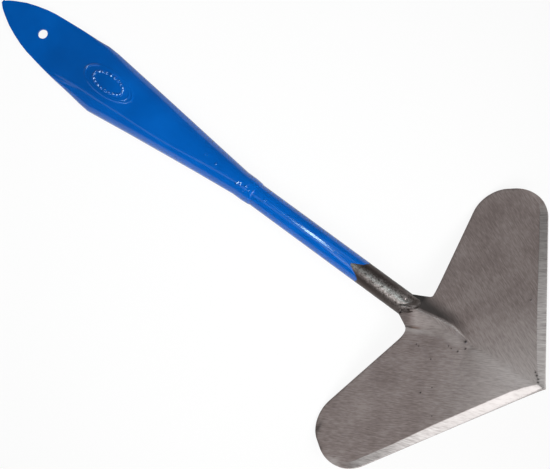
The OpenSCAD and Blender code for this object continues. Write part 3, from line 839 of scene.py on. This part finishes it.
def makeShank():
    s = shank
    stations = [*stationsIn(s["spans"]), 0.0]
    at, dripTurn, dripSize, dripHigh = s["drip"]
    points, marks = [], {"painted": [], "rubbed": [], "hollow": []}
    for x in stations:
        for k in range(s["sides"]):
            phi = 2 * math.pi * k / s["sides"]  # from the top, towards +Y
            off = math.degrees((phi + math.pi) % (2 * math.pi) - math.pi)
            c, d = math.cos(phi), math.sin(phi)
            wide, fine = s["raggedTurns"]
            wave = noise.noise(Vector((d * wide, c * wide, s["raggedSeed"])))
            wave += s["fineShare"] * noise.noise(Vector((d * fine, c * fine, x * s["raggedLong"])))
            tongue = s["tongue"] * bell(off - s["tongueAt"], s["tongueWide"])
            line = s["paintEnd"] - tongue + s["ragged"] * wave
            bare = smoothStep(x, line - s["paintSoft"], line + s["paintSoft"])
            wide, fine = s["pitTurns"]
            rough = noise.noise(Vector((x / s["pitLong"][0], d * wide, c * wide)))
            rough += s["fineShare"] * noise.noise(Vector((x / s["pitLong"][1], d * fine, c * fine)))
            away = math.hypot(x - at, math.radians(off - dripTurn) * s["round"])
            bead = dripHigh * bell(away, dripSize)
            far = s["round"] + (s["pitted"] * rough - s["paintThick"]) * bare + bead
            points.append((x, far * d, far * c))
            marks["painted"].append(1 - bare)
            # painted highlight along the bare part's top
            marks["rubbed"].append(sheenAlongTop(x, off) * bare)
            # painted shade on the bar's +Y side
            marks["hollow"].append(s["shade"] * smoothStep(off, *s["shadeTurn"]))
    skin = tubeFaces(len(stations), s["sides"], True)
    makePiece("shank", points, skin, paintedBar, s["sharp"], marks)


makeShank()

# neck weld: carries the bar on into the rib; mm along the shank and degrees round it
neckWeld = {
    "from": -5.5, "to": 10.5, "arc": 66, "rows": 81, "columns": 93, "hidden": 0.08, "deep": 1.0, "sharp": 60,
    "endTurn": (-66, -56, -24, 8, 30, 66), "endX": (0.4, 1.4, 4.4, 6.4, 5.6, 3.5), "endFade": (0.2, 1.4),
    "fall": 0.5, "ease": 1.4, "blend": 0.45, "startFade": -3.0, "sideFade": 52, "cover": 0.1, "grain": 0.06,
    "grainSize": (1.5, 4.2), "grainSeed": 2.0, "bead": ((-1.6, -3.4), (5.9, 0.8)), "beadWide": 0.85,
    "beadHigh": 0.45, "beadFrom": (-1.0, 1.5), "beadTo": (-0.8, 1.0), "gutter": 1.3, "gutterWide": 0.35,
    "gutterDeep": 0.25, "nearFrom": (3.0, 5.0), "nearTo": (0.0, 1.2),
    "farFrom": (-0.5, 1.0), "farTo": (4.5, 6.5), "farShare": 0.6,
    "crater": (-1.2, 1.5, 1.1), "dimple": (0.0, -4.4, 0.75), "lump": (6.6, 3.2, 1.3), "lumpHigh": 0.35,
    "craterMoat": (1.0, 0.85, 0.32), "dimpleMoat": (0.7, 0.8, 0.35),  # share, place and width
    "craterDrop": (1.0, 0.45), "dimpleDrop": (0.5, 0.4), "dropHigh": 0.25, "moatDeep": 0.3,
    "search": (0.5, 26.0), "halvings": 26,
    "edgeFade": 0.25, "edgeSunk": 0.12, "outside": 0.02, "outsideSunk": 0.3,
    # painted highlights: the bar's streak onto the weld, the bead, the crater's middle and the lump
    "streakTo": (1.0, 4.0), "beadRubbed": 0.75, "rubbedFrom": (1, 6), "lumpRubbed": 0.2,
    # painted shade in the moats and gutters, where flux also lies, and on the far side
    "moatDark": 0.95, "gutterDark": 0.9, "farDark": 0.5, "darkFrom": (3, 8), "darkAcross": (0.3, 2.0),
}


def ribRadius(x, phi):  # from the bar's axis out to the rib's surface, found by halving
    ahead = x - blade["foot"]
    near, far = (np.full(x.shape, r) for r in neckWeld["search"])
    for _ in range(neckWeld["halvings"]):
        middle = (near + far) / 2
        y, z = middle * np.sin(phi), middle * np.cos(phi)
        along, over = ahead * riseCos + z * riseSin, z * riseCos - ahead * riseSin
        outside = over > faceHeight(along, y)
        far, near = np.where(outside, middle, far), np.where(outside, near, middle)
    return near


def patchFaces(rows, columns):  # a grid of points over a second one, with walls round both
    n, faces = rows * columns, []
    for i in range(rows - 1):
        for j in range(columns - 1):
            a = i * columns + j
            faces.append((a, a + columns, a + columns + 1, a + 1))
            faces.append((a + n, a + 1 + n, a + columns + 1 + n, a + columns + n))
    rim = list(range(columns)) + [i * columns + columns - 1 for i in range(1, rows)]
    rim += [(rows - 1) * columns + j for j in range(columns - 2, -1, -1)]
    rim += [i * columns for i in range(rows - 2, 0, -1)]
    return faces + [(a, b, b + n, a + n) for a, b in zip(rim, rim[1:] + rim[:1])]


def makeNeckWeld():
    d = neckWeld
    rows, columns = np.linspace(d["from"], d["to"], d["rows"]), np.linspace(-d["arc"], d["arc"], d["columns"])
    x, phi = (grid.ravel() for grid in np.meshgrid(rows, np.radians(columns), indexing="ij"))
    turn = np.degrees(phi)
    rib, steel = ribRadius(x, phi), shank["round"] - shank["paintThick"]
    past = x - np.interp(turn, d["endTurn"], d["endX"])
    base = np.where(x <= 0, np.maximum(rib, steel), rib)
    skin = softMax(rib, steel - d["fall"] * np.maximum(0, past + d["ease"]) ** 2, d["blend"])
    skin = np.maximum(skin, base)
    y = skin * np.sin(phi)
    inPatch = smoothStep(x, d["from"], d["startFade"]) * fade(past, *d["endFade"])
    inPatch = inPatch * fade(np.abs(turn), d["sideFade"], d["arc"])

    # the bead runs aslant over the joint, with a gutter on each side of it
    p, q = np.array(d["bead"])
    length = np.linalg.norm(q - p)
    ahead = (q - p) / length
    along = (x - p[0]) * ahead[0] + (y - p[1]) * ahead[1]
    aside = (y - p[1]) * ahead[0] - (x - p[0]) * ahead[1]
    bead = bell(aside, d["beadWide"]) * smoothStep(along, *d["beadFrom"]) * fade(along - length, *d["beadTo"])
    near = smoothStep(along, *d["nearFrom"]) * fade(along - length, *d["nearTo"])
    far = d["farShare"] * between(along, d["farFrom"], d["farTo"])
    gutter = near * bell(aside + d["gutter"], d["gutterWide"])
    gutter += far * bell(aside - d["gutter"], d["gutterWide"])

    # a crater and a dimple, each a drop within a moat, and a lump at the bead's end
    moat, drop = np.zeros(len(x)), np.zeros(len(x))
    away = lambda spot: np.hypot(x - spot[0], y - spot[1]) / spot[2]
    for name in ("crater", "dimple"):
        share, place, wide = d[name + "Moat"]
        moat += share * bell(away(d[name]) - place, wide)
        share, wide = d[name + "Drop"]
        drop += share * bell(away(d[name]), wide)
    lump = bell(away(d["lump"]), 1)
    long, turns = d["grainSize"]
    rough = np.array([noise.noise(Vector((a / long, b * turns, d["grainSeed"]))) for a, b in zip(x, phi)])
    relief = d["cover"] + d["grain"] * rough + d["beadHigh"] * bead - d["gutterDeep"] * gutter
    relief += d["dropHigh"] * drop - d["moatDeep"] * moat + d["lumpHigh"] * lump
    high = skin - base - d["hidden"] + relief * inPatch
    kept = smoothStep(inPatch, 0, d["edgeFade"])
    high = np.where(inPatch > d["outside"], high * kept - d["edgeSunk"] * (1 - kept), -d["outsideSunk"])
    cylinder = lambda r: np.column_stack([x, r * np.sin(phi), r * np.cos(phi)])
    points = np.vstack([cylinder(base + high), cylinder(base - d["deep"])])

    # painted highlight on the streak, the bead, the crater's middle and the lump
    streak = sheenAlongTop(x, turn) * fade(x, *d["streakTo"])
    ridge = d["beadRubbed"] * bead * smoothStep(along, *d["rubbedFrom"])
    rubbed = streak + ridge + drop + d["lumpRubbed"] * lump
    # painted shade on the far side, and in the moats and gutters with flux
    shaded = smoothStep(x, *d["darkFrom"]) * smoothStep(y, *d["darkAcross"])
    hollow = d["moatDark"] * np.minimum(moat, 1) + d["gutterDark"] * gutter + d["farDark"] * shaded
    marks = topOnly({"hollow": hollow, "rubbed": rubbed})
    skin = patchFaces(d["rows"], d["columns"])
    makePiece("neck_weld", points, skin, weldSteel, d["sharp"], marks)


makeNeckWeld()

# mouth welds: flat-topped spots of weld under the paint; mm along and across, long, wide, high, and slant
mouthWelds = {
    "spots": ((-103.4, -1.4, 1.9, 0.5, 0.3, 72), (-101.9, -1.0, 1.8, 0.45, 0.28, -66),
              (-98.8, -0.6, 0.85, 0.75, 0.34, 0), (-98.9, -3.1, 0.5, 0.4, 0.2, -30),
              (-96.3, -1.4, 0.5, 0.4, 0.2, 20), (-94.5, 0.0, 0.4, 0.35, 0.2, 0)),
    "rings": 9, "sides": 24, "sharp": 70, "round": 6.62, "facing": (0.042, -0.051), "sunk": 0.5,
    "rimSunk": 0.05, "flatTo": (0.72, 1.0), "uneven": 0.16, "unevenTurns": 1.5, "unevenSeed": 0.3,
}


def makeMouthWelds():
    d = mouthWelds
    turns, seed = d["unevenTurns"], d["unevenSeed"]
    points, faces = [], []
    for k, (x, y, long, wide, tall, slant) in enumerate(d["spots"]):
        skin = tubeFaces(d["rings"], d["sides"])[:-1]  # the last ring is the spot's middle and needs no cap
        faces += [tuple(len(points) + i for i in f) for f in skin]
        a, b = math.cos(math.radians(slant)), math.sin(math.radians(slant))
        crown = math.sqrt(d["round"] ** 2 - y * y) + tall
        for i in range(d["rings"]):
            s = 1 - i / (d["rings"] - 1)
            for t in evenly(0, 2 * math.pi, d["sides"]):
                spot = Vector((math.cos(t) * turns + k, math.sin(t) * turns, seed))
                rough = 1 + d["uneven"] * noise.noise(spot)
                p, q = long * s * math.cos(t) * rough, wide * s * math.sin(t) * rough
                px, py = p * a - q * b, p * b + q * a
                flat = crown - d["facing"][0] * px - d["facing"][1] * py  # top that leans towards the light
                foot = math.sqrt(d["round"] ** 2 - (y + py) ** 2) - (d["sunk"] if i == 0 else d["rimSunk"])
                share = smoothStep(s, *d["flatTo"])
                points.append((x + px, y + py, flat * (1 - share) + foot * share))
    makePiece("mouth_welds", points, faces, blueEnamel, d["sharp"])


makeMouthWelds()
print("tool built")

# stage: pale floor, soft studio light and the camera; metres and degrees
stage = {
    "floor": "#f4f4f3", "floorSize": 12.0, "ownLight": 0.91,
    "wall": 0.35, "paperTop": 0.12, "paperSoft": 0.02,
    "sky": ((0.5, "#f0eeed"), (0.575, "#c8c6c5"), (0.65, "#7b7a79"), (0.75, "#474747"), (1.0, "#303030")),
    "lamps": {  # place, aim, size, power, tint and spread
        "key": ((0.3, -0.07, 0.46), (-0.06, 0, 0.03), (0.35, 0.35), 0.62, "#ffffff", 60),
        "fill": ((-0.62, -0.45, 0.85), (-0.15, 0, 0.02), (0.9, 0.3), 0.55, "#ffffff", 180),
        "lowEdge": ((0.067, -0.118, 0.163), (0.14, -0.03, 0.06), (0.12, 0.12), 0.07, "#ffffff", 180),
        "highEdge": ((0.088, 0.121, 0.132), (0.16, 0.01, 0.065), (0.09, 0.09), 0.013, "#ffffff", 180),
        "tube": ((-0.297, 0.006, 1.139), (0.036, 0, 0.025), (0.022, 0.46), 0.75, "#e3ffff", 180),
        "trough": ((-0.2985, 0.006, 1.144), (0.036, 0, 0.025), (0.055, 1.7), 0.2, "#e3ffff", 180),
    },
    "camera": {"place": (0.21714, -0.11848, 1.11271), "turn": (10.704, 4.841, 37.698), "lens": 148.036,
               "sensor": 36.0, "clip": (0.01, 50.0)},
}

half = stage["floorSize"] / 2
floorMesh = bpy.data.meshes.new("floor")
corners = [(-half, -half, 0), (half, -half, 0), (half, half, 0), (-half, half, 0)]
floorMesh.from_pydata(corners, [], [(0, 1, 2, 3)])
floor = bpy.data.objects.new("floor", floorMesh)
scene.collection.objects.link(floor)
paper = bpy.data.materials.new("mattStudioPaper")  # uncoated seamless paper: flat white with no gloss
paper.use_nodes = True
tree = paper.node_tree
tree.nodes.clear()
path = addNode(tree, "LightPath").outputs
larger = {"operation": "MAXIMUM"}
seen = addNode(tree, "Math", larger, i0=path["Is Camera Ray"], i1=path["Is Glossy Ray"]).outputs[0]
seen = addNode(tree, "Math", larger, i0=seen, i1=path["Is Transmission Ray"]).outputs[0]
share = addNode(tree, "Math", {"operation": "MULTIPLY", 1: stage["ownLight"]}, i0=seen).outputs[0]
matt = addNode(tree, "BsdfDiffuse", {"Color": toLinear(stage["floor"])}).outputs["BSDF"]
white = addNode(tree, "Emission", {"Color": (1, 1, 1, 1), "Strength": 1.0}).outputs["Emission"]
mixed = addNode(tree, "MixShader", i0=share, i1=matt, i2=white).outputs["Shader"]
addNode(tree, "OutputMaterial", Surface=mixed)
floorMesh.materials.append(paper)

world = bpy.data.worlds.new("studio")  # pale wall beyond the butt, dark elsewhere, white paper low down
scene.world = world
world.use_nodes = True
tree = world.node_tree
tree.nodes.clear()
toward = addNode(tree, "TexCoord").outputs["Generated"]
part = addNode(tree, "SeparateXYZ", Vector=toward).outputs
lean = {"operation": "MULTIPLY_ADD", 1: stage["wall"]}
height = addNode(tree, "Math", lean, i0=part["X"], i2=part["Z"]).outputs[0]
span = {"range": (-1.0 - stage["wall"], 1.0 - stage["wall"], 0.0, 1.0)}
share = addNode(tree, "MapRange", span, Value=height).outputs["Result"]
walls = addNode(tree, "ValToRGB", {"stops": stage["sky"]}, Fac=share).outputs["Color"]
span = {"range": (stage["paperTop"], stage["paperTop"] - stage["paperSoft"], 0.0, 1.0)}
low = addNode(tree, "MapRange", span, Value=part["Z"]).outputs["Result"]
tint = {"data_type": "RGBA", 7: toLinear(stage["floor"])}
walls = addNode(tree, "Mix", tint, i0=low, i6=walls).outputs[2]
room = addNode(tree, "Background", {"Strength": 1.0}, Color=walls).outputs["Background"]
addNode(tree, "OutputWorld", Surface=room)

for name, (place, aim, size, power, tint, spread) in stage["lamps"].items():
    lamp = bpy.data.lights.new(name, "AREA")
    lamp.shape, lamp.energy, lamp.color = "RECTANGLE", power, toLinear(tint)[:3]
    lamp.size, lamp.size_y = size
    lamp.spread = math.radians(spread)
    back = (Vector(place) - Vector(aim)).normalized()
    long = (Vector((0, 1, 0)) - back * back.y).normalized()  # the lamp's long side stays along Y
    holder = bpy.data.objects.new(name, lamp)
    holder.matrix_world = Matrix((long.cross(back), long, back)).transposed().to_4x4()
    holder.location = place
    holder.visible_camera = False
    scene.collection.objects.link(holder)

spec = stage["camera"]
lens = bpy.data.cameras.new("camera")
lens.lens, lens.sensor_width, lens.sensor_fit = spec["lens"], spec["sensor"], "HORIZONTAL"
lens.clip_start, lens.clip_end = spec["clip"]
viewer = bpy.data.objects.new("camera", lens)
viewer.location = spec["place"]
viewer.rotation_euler = [math.radians(a) for a in spec["turn"]]
scene.collection.objects.link(viewer)
scene.camera = viewer
print("stage set")

bpy.context.view_layer.update()
